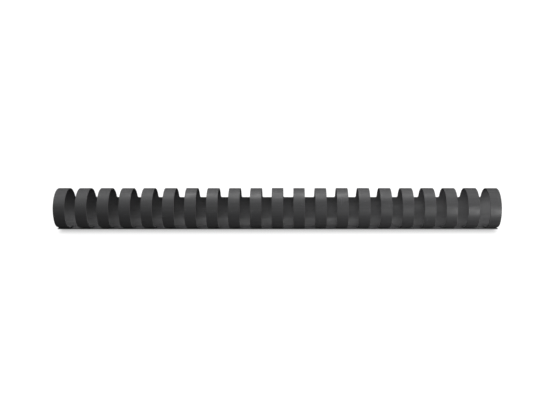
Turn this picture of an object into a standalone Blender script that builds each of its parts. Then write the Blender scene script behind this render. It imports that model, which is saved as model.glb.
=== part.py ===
"""A black plastic binding comb: one long curved spine and a row of springy rings.

Metres, +Z up. +X runs along the spine, -Y is the side where the ring tips tuck in behind the
spine's front lip, and the comb lies on the narrow flat along the underside of its spine.
Angles are measured about the comb's long axis from +Y, and grow upwards.
"""

import math

import bmesh
import bpy

# Driving sizes
ring_count = 21
ring_pitch = 0.0142875  # 9/16 inch, the standard spacing of comb punching
ring_width = 0.0075
spine_overhang = 0.0013  # how far the spine runs on past the outermost rings
outer_diameter = 0.0276
sheet_thickness = 0.0006
spine_rear_edge = math.radians(-11.25)  # where the rings grow out of the spine
spine_wrap = math.radians(135)  # how far the spine runs round, under the comb, to its front lip
rest_flat_width = 0.006  # the flat along the underside
tuck_length = 0.0085  # how far the ring tips reach in behind the front lip
tuck_clearance = 0.00035  # between a tip and the inside of the spine
pivot_clearance = 0.00005  # a ring's root turning past the spine's edge
tip_corner = 0.0022  # radius of the two corners of a ring's tip
root_fillet = 0.001  # radius where a ring widens into the spine
facet_angle = math.radians(11.25)  # the longest step along a curve
corner_steps = 3  # rows along a fillet or a rounded corner

# Sizes that follow from them
middle_radius = (outer_diameter - sheet_thickness) / 2
spine_length = (ring_count - 1) * ring_pitch + ring_width + 2 * spine_overhang
flat_half_angle = math.asin(rest_flat_width / 2 / middle_radius)
axis_height = middle_radius * math.cos(flat_half_angle) + sheet_thickness / 2
root_gap = sheet_thickness / 2 + pivot_clearance
ring_root = spine_rear_edge + root_gap / middle_radius
front_lip = spine_rear_edge + 2 * math.pi - spine_wrap
tucked_radius = middle_radius - sheet_thickness - tuck_clearance
ring_tip = front_lip + tuck_length / tucked_radius
tuck_start = math.pi  # the rings are round up to here
tuck_end = front_lip - sheet_thickness / middle_radius  # and tucked in before they pass the lip


def material(name, color, roughness):
    made = bpy.data.materials.new(name)
    made.use_nodes = True
    shader = made.node_tree.nodes["Principled BSDF"]
    shader.inputs["Base Color"].default_value = (*color, 1)
    shader.inputs["Roughness"].default_value = roughness
    shader.inputs["Metallic"].default_value = 0
    return made


def steps(start, end):
    """Evenly spaced angles from start to end, both included, no further apart than a facet."""
    count = max(1, math.ceil(abs(end - start) / facet_angle - 1e-6))
    return [start + (end - start) * i / count for i in range(count + 1)]


def on_section(angle, radius):
    """The height and depth of a point at this angle and radius about the comb's long axis."""
    return radius * math.cos(angle), axis_height + radius * math.sin(angle)


def sheet_object(name, path, half_widths, look, parts):
    """A strip of the comb's sheet along a (y, z) path, reaching half a width to each side of x = 0."""
    shape = bmesh.new()
    row = [shape.verts.new((-half, y, z)) for half, (y, z) in zip(half_widths, path)]
    edges = [shape.edges.new(pair) for pair in zip(row, row[1:])]
    bmesh.ops.extrude_edge_only(shape, edges=edges)
    shape.verts.ensure_lookup_table()
    for vert, half in zip(shape.verts[len(row):], half_widths):
        vert.co.x = half
    mesh = bpy.data.meshes.new(name)
    shape.to_mesh(mesh)
    shape.free()
    mesh.materials.append(look)
    made = bpy.data.objects.new(name, mesh)
    parts.objects.link(made)
    wall = made.modifiers.new("Wall", "SOLIDIFY")
    wall.thickness = sheet_thickness
    wall.offset = 0
    wall.use_even_offset = True
    return made


def spine_angles():
    """The spine's facet lines from its front lip to its rear edge, with one facet as the flat."""
    underside = 1.5 * math.pi
    front_half = steps(front_lip, underside - flat_half_angle)
    rear_half = steps(underside + flat_half_angle, spine_rear_edge + 2 * math.pi)
    return front_half + rear_half


def make_spine(look, parts):
    path = [on_section(angle, middle_radius) for angle in spine_angles()]
    return sheet_object("spine", path, [spine_length / 2] * len(path), look, parts)


def spine_radius(angle):
    """How far the middle of the spine's faceted wall is from the axis."""
    lines = spine_angles()
    start, end = next(pair for pair in zip(lines, lines[1:]) if angle <= pair[1])
    return middle_radius * math.cos((end - start) / 2) / math.cos(angle - (start + end) / 2)


def ring_radius(angle):
    """Round as far as the front, then easing inwards, then along the inside of the spine."""
    share = min(max((angle - tuck_start) / (tuck_end - tuck_start), 0), 1)
    wall = spine_radius(angle) if angle > front_lip else middle_radius
    return wall - (sheet_thickness + tuck_clearance) * share * share * (3 - 2 * share)


def ring_stations():
    """(angle, change of half width) along a ring, from its filleted root to its rounded tip."""
    stations = []
    for i in range(corner_steps):
        along = root_fillet * (1 - math.cos(math.pi / 2 * i / corner_steps))
        spread = root_fillet * (1 - math.sin(math.pi / 2 * i / corner_steps))
        stations.append((ring_root + along / middle_radius, spread))
    fillet_end = ring_root + root_fillet / middle_radius
    corner_start = ring_tip - tip_corner / tucked_radius
    beside_spine = [angle for angle in spine_angles() if angle < corner_start]
    bends = [fillet_end, 0, math.pi / 2, tuck_start, tuck_end, *beside_spine, corner_start]
    for start, end in zip(bends, bends[1:]):
        stations += [(angle, 0) for angle in steps(start, end)[:-1]]
    for i in range(corner_steps + 1):
        along = tip_corner * math.sin(math.pi / 2 * i / corner_steps)
        narrowing = tip_corner * (1 - math.cos(math.pi / 2 * i / corner_steps))
        stations.append((corner_start + along / tucked_radius, -narrowing))
    return stations


def make_rings(look, parts):
    hinge_y, hinge_z = on_section(ring_root, middle_radius)
    stations = ring_stations()
    path = []
    for angle, _ in stations:
        y, z = on_section(angle, ring_radius(angle))
        path.append((y - hinge_y, z - hinge_z))
    half_widths = [ring_width / 2 + change for _, change in stations]
    first_x = -(ring_count - 1) * ring_pitch / 2
    for number in range(1, ring_count + 1):
        ring = sheet_object(f"ring_{number:02}", path, half_widths, look, parts)
        ring.location = (first_x + (number - 1) * ring_pitch, hinge_y, hinge_z)


def main():
    for old in list(bpy.data.objects):
        bpy.data.objects.remove(old)
    parts = bpy.data.collections.new("binding_comb")
    bpy.context.scene.collection.children.link(parts)
    make_spine(material("spine_pvc", (0.035, 0.035, 0.036), 0.42), parts)
    make_rings(material("ring_pvc", (0.035, 0.035, 0.036), 0.42), parts)
    for piece in parts.objects:
        piece.data.shade_smooth()
        piece.data.set_sharp_from_angle(angle=math.radians(30))


main()
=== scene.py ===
# A black plastic binding comb lying on a pale table, seen from the side where the ring tips tuck in.
# The spine and every ring are curled from flat PVC strip by one Geometry Nodes tree.
import math
import random

import bpy
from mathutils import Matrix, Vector


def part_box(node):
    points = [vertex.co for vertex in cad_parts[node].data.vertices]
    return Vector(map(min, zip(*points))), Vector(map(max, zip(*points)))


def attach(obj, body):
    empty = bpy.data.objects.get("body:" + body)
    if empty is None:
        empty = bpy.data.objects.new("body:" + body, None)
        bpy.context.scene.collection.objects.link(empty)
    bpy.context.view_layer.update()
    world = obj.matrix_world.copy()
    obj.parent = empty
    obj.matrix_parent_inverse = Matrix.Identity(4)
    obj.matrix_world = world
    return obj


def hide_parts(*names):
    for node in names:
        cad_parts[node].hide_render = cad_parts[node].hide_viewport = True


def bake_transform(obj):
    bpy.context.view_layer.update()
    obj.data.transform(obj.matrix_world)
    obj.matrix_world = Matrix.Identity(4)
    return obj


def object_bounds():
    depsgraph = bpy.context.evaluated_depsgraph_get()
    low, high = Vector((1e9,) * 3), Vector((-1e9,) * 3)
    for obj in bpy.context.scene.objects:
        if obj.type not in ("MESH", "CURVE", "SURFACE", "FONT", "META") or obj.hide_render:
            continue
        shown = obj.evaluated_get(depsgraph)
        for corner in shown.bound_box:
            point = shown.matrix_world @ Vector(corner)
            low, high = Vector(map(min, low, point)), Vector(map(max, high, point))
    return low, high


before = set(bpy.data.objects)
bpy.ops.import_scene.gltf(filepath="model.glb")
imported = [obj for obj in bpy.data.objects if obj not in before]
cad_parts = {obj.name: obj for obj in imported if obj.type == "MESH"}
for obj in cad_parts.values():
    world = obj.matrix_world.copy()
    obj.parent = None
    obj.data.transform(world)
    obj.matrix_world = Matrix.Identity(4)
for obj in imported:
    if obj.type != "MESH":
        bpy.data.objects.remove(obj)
cadLow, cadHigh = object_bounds()
print("frame loaded:", len(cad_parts), "nodes")

comb = {
    "rings": sum(name.startswith("ring_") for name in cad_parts),
    "outerDiameter": cadHigh.y - cadLow.y,
    "thickness": 0.0006,
    "cutRadius": 0.00012,   # how far the die rounds each cut edge
    "restFlat": 0.006,      # width of the flat under the spine
    "rearEdge": math.radians(-11.25),
    "wrap": math.radians(135),
}
comb["radius"] = (comb["outerDiameter"] - comb["thickness"]) / 2
comb["flatHalf"] = math.asin(comb["restFlat"] / 2 / comb["radius"])
comb["axisHeight"] = cadLow.z + comb["radius"] * math.cos(comb["flatHalf"]) + comb["thickness"] / 2
comb["frontLip"] = comb["rearEdge"] + 2 * math.pi - comb["wrap"]

# Short ways of adding nodes, for the geometry tree and the materials alike.

def addNode(tree, kind, **settings):
    node = tree.nodes.new(kind)
    for name, value in settings.items():
        setattr(node, name, value)
    return node


def feed(tree, socket, value):
    # A socket takes either another socket or a plain value.
    if isinstance(value, bpy.types.NodeSocket):
        tree.links.new(value, socket)
    elif value is not None:
        socket.default_value = value


def calc(tree, operation, first, second=None, third=None):
    node = addNode(tree, "ShaderNodeMath", operation=operation)
    for socket, value in zip(node.inputs, (first, second, third)):
        feed(tree, socket, value)
    return node.outputs[0]


def smoothRange(tree, value, low, high, start=0.0, end=1.0):
    node = addNode(tree, "ShaderNodeMapRange", interpolation_type="SMOOTHSTEP")
    for name, given in (("Value", value), ("From Min", low), ("From Max", high),
                        ("To Min", start), ("To Max", end)):
        feed(tree, node.inputs[name], given)
    return node.outputs["Result"]


def groupInputs(tree, sockets):
    # sockets: name -> (type, default)
    for name, (kind, default) in sockets.items():
        made = tree.interface.new_socket(name, in_out="INPUT", socket_type=kind)
        if default is not None:
            made.default_value = default
    return addNode(tree, "NodeGroupInput").outputs


# The curl tree: a flat strip with rounded edges, cut to its outline and rolled about the comb's axis.

def roundNotch(tree, distance, radius):
    # What a quarter circle of this radius takes away at a distance from its end: radius, easing to 0.
    left = calc(tree, "DIVIDE", calc(tree, "MINIMUM", distance, radius), radius)
    back = calc(tree, "SUBTRACT", 1.0, left)
    chord = calc(tree, "SQRT", calc(tree, "SUBTRACT", 1.0, calc(tree, "MULTIPLY", back, back)))
    return calc(tree, "MULTIPLY", radius, calc(tree, "SUBTRACT", 1.0, chord))


def buildCurlTree():
    crowding = 0.9        # how strongly the stations gather at the two ends
    flatBlend = 0.0001    # how softly the round runs into the flat
    underside = 1.5 * math.pi
    tree = bpy.data.node_groups.new("curlSheet", "GeometryNodeTree")
    tree.interface.new_socket("Geometry", in_out="INPUT", socket_type="NodeSocketGeometry")
    given = groupInputs(tree, {
        "Cross Section": ("NodeSocketObject", None),
        "Surface": ("NodeSocketMaterial", None),
        "Stations": ("NodeSocketInt", 120),
        "Width": ("NodeSocketFloat", 0.0075),
        "Thickness": ("NodeSocketFloat", 0.0006),
        "Cut Radius": ("NodeSocketFloat", 0.00012),
        "Curl Radius": ("NodeSocketFloat", 0.0135),
        "Axis Height": ("NodeSocketFloat", 0.0135),
        "Start Angle": ("NodeSocketFloat", 0.0),
        "End Angle": ("NodeSocketFloat", 4.0),
        "Tuck Start": ("NodeSocketFloat", 3.0),
        "Tuck End": ("NodeSocketFloat", 3.5),
        "Tuck Depth": ("NodeSocketFloat", 0.0),
        "Flat Half Angle": ("NodeSocketFloat", 0.0),
        "Tip Corner": ("NodeSocketFloat", 0.0001),
        "Root Fillet": ("NodeSocketFloat", 0.0001),
        "Lip Corner": ("NodeSocketFloat", 0.0001),
        "Round Start": ("NodeSocketFloat", 1.0),
        "Looseness": ("NodeSocketFloat", 0.0),
        "Lean": ("NodeSocketFloat", 0.0),
        "Centre X": ("NodeSocketFloat", 0.0),
    })
    tree.interface.new_socket("Geometry", in_out="OUTPUT", socket_type="NodeSocketGeometry")

    rail = addNode(tree, "GeometryNodeCurvePrimitiveLine")
    rail.inputs["End"].default_value = (0, 0, 1)
    railPoints = addNode(tree, "GeometryNodeResampleCurve")
    feed(tree, railPoints.inputs["Curve"], rail.outputs[0])
    feed(tree, railPoints.inputs["Count"], given["Stations"])
    section = addNode(tree, "GeometryNodeObjectInfo")
    feed(tree, section.inputs["Object"], given["Cross Section"])
    strip = addNode(tree, "GeometryNodeCurveToMesh")
    feed(tree, strip.inputs["Curve"], railPoints.outputs[0])
    feed(tree, strip.inputs["Profile Curve"], section.outputs["Geometry"])
    strip.inputs["Fill Caps"].default_value = True

    place = addNode(tree, "ShaderNodeSeparateXYZ")
    feed(tree, place.inputs[0], addNode(tree, "GeometryNodeInputPosition").outputs[0])
    across, depth, share = place.outputs

    # stations crowd towards both ends, where the fillets and corners are
    swing = calc(tree, "SINE", calc(tree, "MULTIPLY", share, 2 * math.pi))
    even = calc(tree, "SUBTRACT", share, calc(tree, "MULTIPLY", swing, crowding / (2 * math.pi)))
    span = calc(tree, "SUBTRACT", given["End Angle"], given["Start Angle"])
    turned = calc(tree, "MULTIPLY", even, span)
    angle = calc(tree, "ADD", given["Start Angle"], turned)
    fromRoot = calc(tree, "MULTIPLY", turned, given["Curl Radius"])
    toTip = calc(tree, "MULTIPLY", calc(tree, "SUBTRACT", span, turned), given["Curl Radius"])

    # outline: root fillets widen the strip, rounded corners narrow it
    widening = roundNotch(tree, fromRoot, given["Root Fillet"])
    narrowing = calc(tree, "ADD", roundNotch(tree, toTip, given["Tip Corner"]),
                     roundNotch(tree, fromRoot, given["Lip Corner"]))
    halfWidth = calc(tree, "MULTIPLY", given["Width"], 0.5)
    halfHere = calc(tree, "SUBTRACT", calc(tree, "ADD", halfWidth, widening), narrowing)
    acrossHere = calc(tree, "MULTIPLY", calc(tree, "DIVIDE", across, halfWidth), halfHere)

    # the two cut ends are rounded like the sides, except a root that runs on into the spine
    halfWall = calc(tree, "MULTIPLY", given["Thickness"], 0.5)
    tipLoss = roundNotch(tree, toTip, given["Cut Radius"])
    rootLoss = calc(tree, "MULTIPLY", roundNotch(tree, fromRoot, given["Cut Radius"]),
                    given["Round Start"])
    wallHere = calc(tree, "SUBTRACT", halfWall, calc(tree, "MAXIMUM", tipLoss, rootLoss))
    depthHere = calc(tree, "MULTIPLY", calc(tree, "DIVIDE", depth, halfWall), wallHere)

    # curl: round, eased inwards over the tuck, flat over the underside, a little loose at the front
    tuck = smoothRange(tree, angle, given["Tuck Start"], given["Tuck End"])
    tuckedBy = calc(tree, "MULTIPLY", tuck, given["Tuck Depth"])
    bulge = calc(tree, "SINE", calc(tree, "MULTIPLY", even, math.pi))
    loose = calc(tree, "MULTIPLY", calc(tree, "MULTIPLY", bulge, bulge), given["Looseness"])
    flatDistance = calc(tree, "MULTIPLY", given["Curl Radius"],
                        calc(tree, "COSINE", given["Flat Half Angle"]))
    fromUnder = calc(tree, "SUBTRACT", angle, underside)
    flatRadius = calc(tree, "DIVIDE", flatDistance,
                      calc(tree, "MAXIMUM", calc(tree, "COSINE", fromUnder), 0.5))
    rounded = calc(tree, "SMOOTH_MIN", given["Curl Radius"], flatRadius, flatBlend)
    overFlat = calc(tree, "LESS_THAN", calc(tree, "ABSOLUTE", fromUnder),
                    calc(tree, "MULTIPLY", given["Flat Half Angle"], 2.0))
    curlRadius = addNode(tree, "ShaderNodeMix", data_type="FLOAT")
    feed(tree, curlRadius.inputs[0], overFlat)
    feed(tree, curlRadius.inputs[2], given["Curl Radius"])
    feed(tree, curlRadius.inputs[3], rounded)
    radius = calc(tree, "ADD", calc(tree, "SUBTRACT", curlRadius.outputs[0], tuckedBy), loose)
    radius = calc(tree, "ADD", radius, depthHere)
    lean = calc(tree, "MULTIPLY", calc(tree, "MULTIPLY", even, even), given["Lean"])
    rolled = addNode(tree, "ShaderNodeCombineXYZ")
    feed(tree, rolled.inputs[0], calc(tree, "ADD", calc(tree, "ADD", acrossHere, lean),
                                      given["Centre X"]))
    feed(tree, rolled.inputs[1], calc(tree, "MULTIPLY", radius, calc(tree, "COSINE", angle)))
    feed(tree, rolled.inputs[2], calc(tree, "ADD", given["Axis Height"],
                                      calc(tree, "MULTIPLY", radius, calc(tree, "SINE", angle))))

    # what the finish needs to know: the place on the flat sheet, and how near the cut edge is
    onSheet = addNode(tree, "ShaderNodeCombineXYZ")
    feed(tree, onSheet.inputs[0], calc(tree, "ADD", acrossHere, given["Centre X"]))
    feed(tree, onSheet.inputs[1], fromRoot)
    feed(tree, onSheet.inputs[2], depthHere)
    fromSide = calc(tree, "SUBTRACT", halfHere, calc(tree, "ABSOLUTE", acrossHere))
    fromStart = calc(tree, "ADD", fromRoot, calc(tree, "SUBTRACT", 1.0, given["Round Start"]))
    nearest = calc(tree, "MINIMUM", fromSide, calc(tree, "MINIMUM", toTip, fromStart))
    sheetMark = addNode(tree, "GeometryNodeStoreNamedAttribute", data_type="FLOAT_VECTOR")
    sheetMark.inputs["Name"].default_value = "sheetPlace"
    feed(tree, sheetMark.inputs["Geometry"], strip.outputs[0])
    feed(tree, sheetMark.inputs["Value"], onSheet.outputs[0])
    edgeMark = addNode(tree, "GeometryNodeStoreNamedAttribute", data_type="FLOAT")
    edgeMark.inputs["Name"].default_value = "edgeDistance"
    feed(tree, edgeMark.inputs["Geometry"], sheetMark.outputs[0])
    feed(tree, edgeMark.inputs["Value"], nearest)

    curled = addNode(tree, "GeometryNodeSetPosition")
    feed(tree, curled.inputs["Geometry"], edgeMark.outputs[0])
    feed(tree, curled.inputs["Position"], rolled.outputs[0])
    smooth = addNode(tree, "GeometryNodeSetShadeSmooth")
    feed(tree, smooth.inputs["Geometry"], curled.outputs[0])
    real = addNode(tree, "GeometryNodeRealizeInstances")
    feed(tree, real.inputs[0], smooth.outputs[0])
    finish = addNode(tree, "GeometryNodeSetMaterial")
    feed(tree, finish.inputs["Geometry"], real.outputs[0])
    feed(tree, finish.inputs["Material"], given["Surface"])
    out = addNode(tree, "NodeGroupOutput")
    feed(tree, out.inputs[0], finish.outputs[0])
    return tree


curlTree = buildCurlTree()


def crossSection(name, width, thickness, cutRadius, arcSteps=4):
    # The strip's section as a closed curve. A point just inside each rounded edge keeps the faces flat.
    half, wall = width / 2, thickness / 2
    points = []
    for turn, (sideX, sideY) in enumerate(((1, 1), (-1, 1), (-1, -1), (1, -1))):
        centre = Vector((sideX * (half - cutRadius), sideY * (wall - cutRadius)))
        arc = [centre + cutRadius * Vector((math.cos(a), math.sin(a)))
               for a in (math.pi / 2 * (turn + i / arcSteps) for i in range(arcSteps + 1))]
        inner = Vector((-sideX * cutRadius * 0.3, 0))
        beside = arc[-1] if turn % 2 == 0 else arc[0]
        points += arc + [beside + inner] if turn % 2 == 0 else [beside + inner] + arc
    curve = bpy.data.curves.new(name, "CURVE")
    spline = curve.splines.new("POLY")
    spline.points.add(len(points) - 1)
    for point, (x, y) in zip(spline.points, points):
        point.co = (x, y, 0, 1)
    spline.use_cyclic_u = True
    section = bpy.data.objects.new(name, curve)
    bpy.context.scene.collection.objects.link(section)
    return section


def curlPiece(name, section, surface, **values):
    # One curled strip, made a plain mesh.
    holder = bpy.data.objects.new(name + "_strip", bpy.data.meshes.new(name + "_strip"))
    bpy.context.scene.collection.objects.link(holder)
    modifier = holder.modifiers.new("Curl", "NODES")
    modifier.node_group = curlTree
    socketOf = {item.name: item.identifier for item in curlTree.interface.items_tree
                if item.in_out == "INPUT"}
    values = {
        "Cross Section": section, "Surface": surface,
        "Thickness": comb["thickness"], "Cut Radius": comb["cutRadius"],
        "Curl Radius": comb["radius"], "Axis Height": comb["axisHeight"], **values,
    }
    for label, value in values.items():
        modifier[socketOf[label]] = value
    graph = bpy.context.evaluated_depsgraph_get()
    mesh = bpy.data.meshes.new_from_object(holder.evaluated_get(graph))
    bpy.data.objects.remove(holder)
    mesh.name = name
    piece = bpy.data.objects.new(name, mesh)
    bpy.context.scene.collection.objects.link(piece)
    return piece


# Black PVC. One group makes the sheet's finish from its place on the flat sheet, and each piece's
# material says how much of each mark it has.

# How finely each mark repeats over the flat sheet, in noise cells per metre: across, along, through.
markScales = {
    "coarseLines": (9, 900, 900),
    "fineLines": (30, 4200, 4200),
    "grain": (2600, 2600, 2600),
    "smudges": (70, 95, 95),
    "scuffsAlong": (1500, 55, 1),
    "scuffsAcross": (48, 1300, 1),
    "wornPatches": (130, 170, 1),
    "specks": (1100, 1100, 1100),
    "dustyPatches": (420, 420, 420),
}


def buildSheetFinish():
    tree = bpy.data.node_groups.new("pvcSheet", "ShaderNodeTree")
    given = groupInputs(tree, {
        "Pigment": ("NodeSocketFloat", 0.045),
        "Roughness": ("NodeSocketFloat", 0.5),
        "Streaks": ("NodeSocketFloat", 1.0),
        "Grain": ("NodeSocketFloat", 1.0),
        "Smudges": ("NodeSocketFloat", 1.0),
        "Scuffs": ("NodeSocketFloat", 1.0),
        "Dust": ("NodeSocketFloat", 1.0),
        "Cut Edge": ("NodeSocketFloat", 1.0),
        "Matt Inside And Painted Fill": ("NodeSocketFloat", 1.0),
    })
    for name, kind in (("Color", "NodeSocketColor"), ("Roughness", "NodeSocketFloat"),
                       ("Normal", "NodeSocketVector")):
        tree.interface.new_socket(name, in_out="OUTPUT", socket_type=kind)
    place = addNode(tree, "ShaderNodeAttribute", attribute_name="sheetPlace").outputs["Vector"]
    edge = addNode(tree, "ShaderNodeAttribute", attribute_name="edgeDistance").outputs["Fac"]

    def pattern(mark, detail, distortion=0.0, kind="ShaderNodeTexNoise", output="Fac"):
        scaled = addNode(tree, "ShaderNodeVectorMath", operation="MULTIPLY")
        feed(tree, scaled.inputs[0], place)
        feed(tree, scaled.inputs[1], markScales[mark])
        texture = addNode(tree, kind)
        feed(tree, texture.inputs["Vector"], scaled.outputs[0])
        texture.inputs["Scale"].default_value = 1.0
        if kind == "ShaderNodeTexNoise":
            texture.inputs["Detail"].default_value = detail
            texture.inputs["Distortion"].default_value = distortion
        return texture.outputs[output]

    def partOf(mask, amount):
        return calc(tree, "MULTIPLY", mask, given[amount])

    # lines from the rollers run the length of the sheet; the grain is the same every way
    bothLines = calc(tree, "ADD", pattern("coarseLines", 2.0), pattern("fineLines", 1.0))
    lines = partOf(calc(tree, "SUBTRACT", bothLines, 1.0), "Streaks")
    grain = partOf(pattern("grain", 3.0), "Grain")
    smudge = partOf(smoothRange(tree, pattern("smudges", 3.0, 0.6), 0.42, 0.68), "Smudges")

    # scuffs are thin and broken, and cross the sheet both ways
    worn = smoothRange(tree, pattern("wornPatches", 2.0), 0.48, 0.62)
    thin = [smoothRange(tree, pattern(mark, 1.5, 0.3), 0.66, 0.74)
            for mark in ("scuffsAlong", "scuffsAcross")]
    scuff = partOf(calc(tree, "MULTIPLY", calc(tree, "MAXIMUM", *thin), worn), "Scuffs")

    # specks of dust sit where the sheet faces up
    specks = smoothRange(tree, pattern("specks", 0.0, kind="ShaderNodeTexVoronoi", output="Distance"),
                         0.13, 0.06)
    dusty = calc(tree, "GREATER_THAN", pattern("dustyPatches", 2.0), 0.56)
    facing = addNode(tree, "ShaderNodeSeparateXYZ")
    feed(tree, facing.inputs[0], addNode(tree, "ShaderNodeNewGeometry").outputs["Normal"])
    upward = smoothRange(tree, facing.outputs["Z"], 0.1, 0.9)
    dust = partOf(calc(tree, "MULTIPLY", calc(tree, "MULTIPLY", specks, dusty), upward), "Dust")

    # the side that curls inwards is more matt and is painted paler, a painted fill light lifting the
    # shaded inside of the curl, and the die leaves a paler cut edge
    depth = addNode(tree, "ShaderNodeSeparateXYZ")
    feed(tree, depth.inputs[0], place)
    inside = partOf(smoothRange(tree, depth.outputs["Z"], -0.00012, -0.00024), "Matt Inside And Painted Fill")
    cutEdge = partOf(smoothRange(tree, edge, 0.00018, 0.00005), "Cut Edge")

    marks = (   # each mask, with what it adds to the tone, the roughness and the height
        (lines, 0.016, 0.12, 0.6),
        (smudge, 0.005, -0.13, 0),
        # inside: the added roughness is the matt inner side, the added tone is a painted fill light on
        # the shaded inner surface
        (inside, 0.018, 0.08, 0),
        (scuff, 0.045, 0.18, -0.8),
        (cutEdge, 0.012, 0.10, 0),
        (dust, 0.16, 0.4, 1.5),
        (grain, 0, 0, 0.7),
    )
    totals = [given["Pigment"], given["Roughness"], 0.0]
    for mask, *additions in marks:
        for i, addition in enumerate(additions):
            if addition:
                totals[i] = calc(tree, "MULTIPLY_ADD", mask, addition, totals[i])
    tone, roughness, height = totals
    color = addNode(tree, "ShaderNodeCombineColor")
    for socket, tint in zip(color.inputs, (1.0, 1.0, 1.03)):
        feed(tree, socket, calc(tree, "MULTIPLY", tone, tint))
    bump = addNode(tree, "ShaderNodeBump")
    bump.inputs["Strength"].default_value = 0.5
    bump.inputs["Distance"].default_value = 0.00001
    feed(tree, bump.inputs["Height"], height)
    out = addNode(tree, "NodeGroupOutput")
    for socket, value in zip(out.inputs, (color.outputs[0], roughness, bump.outputs[0])):
        feed(tree, socket, value)
    return tree


sheetFinish = buildSheetFinish()


def sheetMaterial(name, **amounts):
    made = bpy.data.materials.new(name)
    made.use_nodes = True
    tree = made.node_tree
    shader = tree.nodes["Principled BSDF"]
    shader.inputs["Specular IOR Level"].default_value = 0.4
    finish = addNode(tree, "ShaderNodeGroup", node_tree=sheetFinish)
    for label, value in amounts.items():
        finish.inputs[label].default_value = value
    feed(tree, shader.inputs["Base Color"], finish.outputs["Color"])
    feed(tree, shader.inputs["Roughness"], finish.outputs["Roughness"])
    feed(tree, shader.inputs["Normal"], finish.outputs["Normal"])
    return made


# The spine: the uncut half of the sheet, with the corners of its front lip rounded.
spineParts = {
    "stations": 90,
    "lipCorner": 0.003,
    "rearCorner": 0.0003,
    "pvc": {"Pigment": 0.045, "Roughness": 0.52, "Streaks": 1.0, "Grain": 1.0, "Smudges": 0.8,
            "Scuffs": 0.8, "Dust": 1.0, "Cut Edge": 0.8},
}
spineLow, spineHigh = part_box("spine")
spineWidth = spineHigh.x - spineLow.x
spineSection = crossSection("spineSection", spineWidth, comb["thickness"], comb["cutRadius"])
spinePvc = sheetMaterial("spinePvc", **spineParts["pvc"])
spine = curlPiece(
    "combSpine", spineSection, spinePvc,
    **{"Stations": spineParts["stations"], "Width": spineWidth,
       "Start Angle": comb["frontLip"], "End Angle": comb["rearEdge"] + 2 * math.pi,
       "Lip Corner": spineParts["lipCorner"], "Tip Corner": spineParts["rearCorner"],
       "Flat Half Angle": comb["flatHalf"]})
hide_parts("spine")
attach(spine, "spine")
print("spine curled:", len(spine.data.polygons), "faces")

# The rings, which run on from the spine's rear edge and are each cut and curled a little differently.
ring = {
    "seed": 21,
    "width": 0.0075,
    "stations": 140,
    "tipCorner": 0.0022,
    "rootFillet": 0.001,
    "tuckLength": 0.0085,
    "tuckClearance": 0.00035,
    "bendLength": 0.0082,   # of sheet that bends when a ring is opened
    "tipSpread": 0.02,      # how much the rings differ: where the tip ends, how round, how upright
    "looseSpread": 0.0001,
    "leanSpread": 0.0002,
    "pvc": {"Pigment": 0.046, "Roughness": 0.5, "Streaks": 0.9, "Grain": 1.0, "Smudges": 1.0,
            "Scuffs": 1.0, "Dust": 1.0, "Cut Edge": 1.0},
}
tuckDepth = comb["thickness"] + ring["tuckClearance"]
ringTip = comb["frontLip"] + ring["tuckLength"] / (comb["radius"] - tuckDepth)
ringSection = crossSection("ringSection", ring["width"], comb["thickness"], comb["cutRadius"])
ringPvc = sheetMaterial("ringPvc", **ring["pvc"])
random.seed(ring["seed"])
for number in range(1, comb["rings"] + 1):
    body = f"ring_{number:02}"
    ringLow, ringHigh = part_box(body)
    piece = curlPiece(
        f"combRing{number:02}", ringSection, ringPvc,
        **{"Stations": ring["stations"], "Width": ring["width"],
           "Start Angle": comb["rearEdge"] - comb["cutRadius"] / comb["radius"],
           "End Angle": ringTip + random.uniform(-ring["tipSpread"], ring["tipSpread"]),
           "Tuck Start": math.pi,
           "Tuck End": comb["frontLip"] - comb["thickness"] / comb["radius"],
           "Tuck Depth": tuckDepth, "Tip Corner": ring["tipCorner"],
           "Root Fillet": ring["rootFillet"], "Round Start": 0.0,
           "Looseness": random.uniform(-ring["looseSpread"], ring["looseSpread"]),
           "Lean": random.uniform(-ring["leanSpread"], ring["leanSpread"]),
           "Centre X": (ringLow.x + ringHigh.x) / 2})
    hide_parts(body)
    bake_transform(piece)
print("rings curled:", comb["rings"])
for section in (spineSection, ringSection):
    bpy.data.objects.remove(section)

# The table, evenly white, with a painted contact shadow: ambient occlusion darkens its glow where the
# comb stands close over it.
table = {"size": 6, "albedo": 0.1, "roughness": 0.9, "glow": 0.98, "paintedShadowReach": 0.0038,
         "paintedShadowFade": 0.5}
tableMaterial = bpy.data.materials.new("paleTable")
tableMaterial.use_nodes = True
tableTree = tableMaterial.node_tree
tableShader = tableTree.nodes["Principled BSDF"]
tableShader.inputs["Base Color"].default_value = (table["albedo"],) * 3 + (1,)
tableShader.inputs["Roughness"].default_value = table["roughness"]
tableShader.inputs["Emission Color"].default_value = (1, 1, 1, 1)
# painted contact shadow: the table's glow is dimmed by ambient occlusion from the comb, not shaded by
# the lamps
paintedShadowAO = addNode(tableTree, "ShaderNodeAmbientOcclusion", samples=16)
paintedShadowAO.inputs["Distance"].default_value = table["paintedShadowReach"]
feed(tableTree, tableShader.inputs["Emission Strength"],
     calc(tableTree, "MULTIPLY", calc(tableTree, "POWER", paintedShadowAO.outputs["AO"], table["paintedShadowFade"]),
          table["glow"]))
bpy.ops.mesh.primitive_plane_add(size=table["size"], location=(0, 0, cadLow.z))
tableTop = bpy.context.object
tableTop.name = "table"
tableTop.data.materials.append(tableMaterial)
tableTop.visible_diffuse = False
tableTop.visible_glossy = False
print("table laid")


def softbox(name, size, place, aim, power):
    lamp = bpy.data.lights.new(name, "AREA")
    lamp.shape = "RECTANGLE"
    lamp.size, lamp.size_y = size
    lamp.energy = power
    made = bpy.data.objects.new(name, lamp)
    made.location = place
    made.rotation_euler = (Vector(aim) - Vector(place)).to_track_quat("-Z", "Y").to_euler()
    bpy.context.scene.collection.objects.link(made)
    return made


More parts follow.
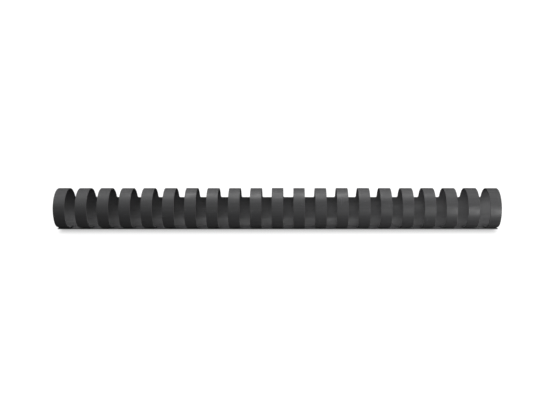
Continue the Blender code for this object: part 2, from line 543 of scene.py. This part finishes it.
# The light: mostly from above and behind, with a lower light at the right end.
lights = {   # name: size, place, what it points at, watts
    "rearOverhead": ((0.4, 0.3), (-0.02, 0.33, 0.48), (0, 0, 0), 2.7),
    "rearLow": ((0.6, 0.2), (0, 0.55, 0.14), (0, 0, 0.01), 0.45),
    "leftHigh": ((0.25, 0.25), (-0.45, 0.05, 0.35), (-0.05, 0, 0), 1.0),
    "rightHigh": ((0.25, 0.25), (0.45, 0.05, 0.35), (0.05, 0, 0), 0.7),
    "rightFront": ((0.25, 0.25), (0.35, -0.35, 0.25), (0.03, 0, 0), 1.9),
    "rightLow": ((0.12, 0.12), (0.22, -0.15, 0.06), (0.12, 0, 0.015), 0.045),
}
for name, (size, place, aim, power) in lights.items():
    softbox(name, size, place, aim, power)
studio = {"backdrop": 0.95, "ambient": 0.045}
world = bpy.data.worlds.new("studio")
world.use_nodes = True
sky = world.node_tree.nodes["Background"]
sky.inputs["Color"].default_value = (1, 1, 1, 1)
seen = addNode(world.node_tree, "ShaderNodeLightPath").outputs["Is Camera Ray"]
feed(world.node_tree, sky.inputs["Strength"],
     calc(world.node_tree, "MULTIPLY_ADD", seen, studio["backdrop"], studio["ambient"]))
bpy.context.scene.world = world
bpy.context.scene.view_settings.view_transform = "Standard"
print("lights:", len(lights))

# The camera, which looks down on the comb's front.
camera = {
    "elevation": math.radians(46.75),
    "distance": 0.479,
    "lens": 46.68,
    "sensor": 36,
    "combRight": 0.0018,    # the comb sits a little right of and below the middle of the picture
    "combBelow": 0.00178,
    "fromRight": 0.009,     # though the camera stands a little right of the comb's middle
}
forward = Vector((0, math.cos(camera["elevation"]), -math.sin(camera["elevation"])))
upward = Vector((0, math.sin(camera["elevation"]), math.cos(camera["elevation"])))
lensData = bpy.data.cameras.new("camera")
lensData.lens = camera["lens"]
lensData.sensor_width = camera["sensor"]
lensData.shift_x = (-(camera["fromRight"] + camera["combRight"]) * camera["lens"]
                    / camera["sensor"] / camera["distance"])
lensData.clip_start = 0.01
viewer = bpy.data.objects.new("camera", lensData)
viewer.location = (Vector((camera["fromRight"], 0, comb["axisHeight"]))
                   + upward * camera["combBelow"] - forward * camera["distance"])
viewer.rotation_euler = (math.pi / 2 - camera["elevation"], 0, 0)
bpy.context.scene.collection.objects.link(viewer)
bpy.context.scene.camera = viewer
print("camera set")
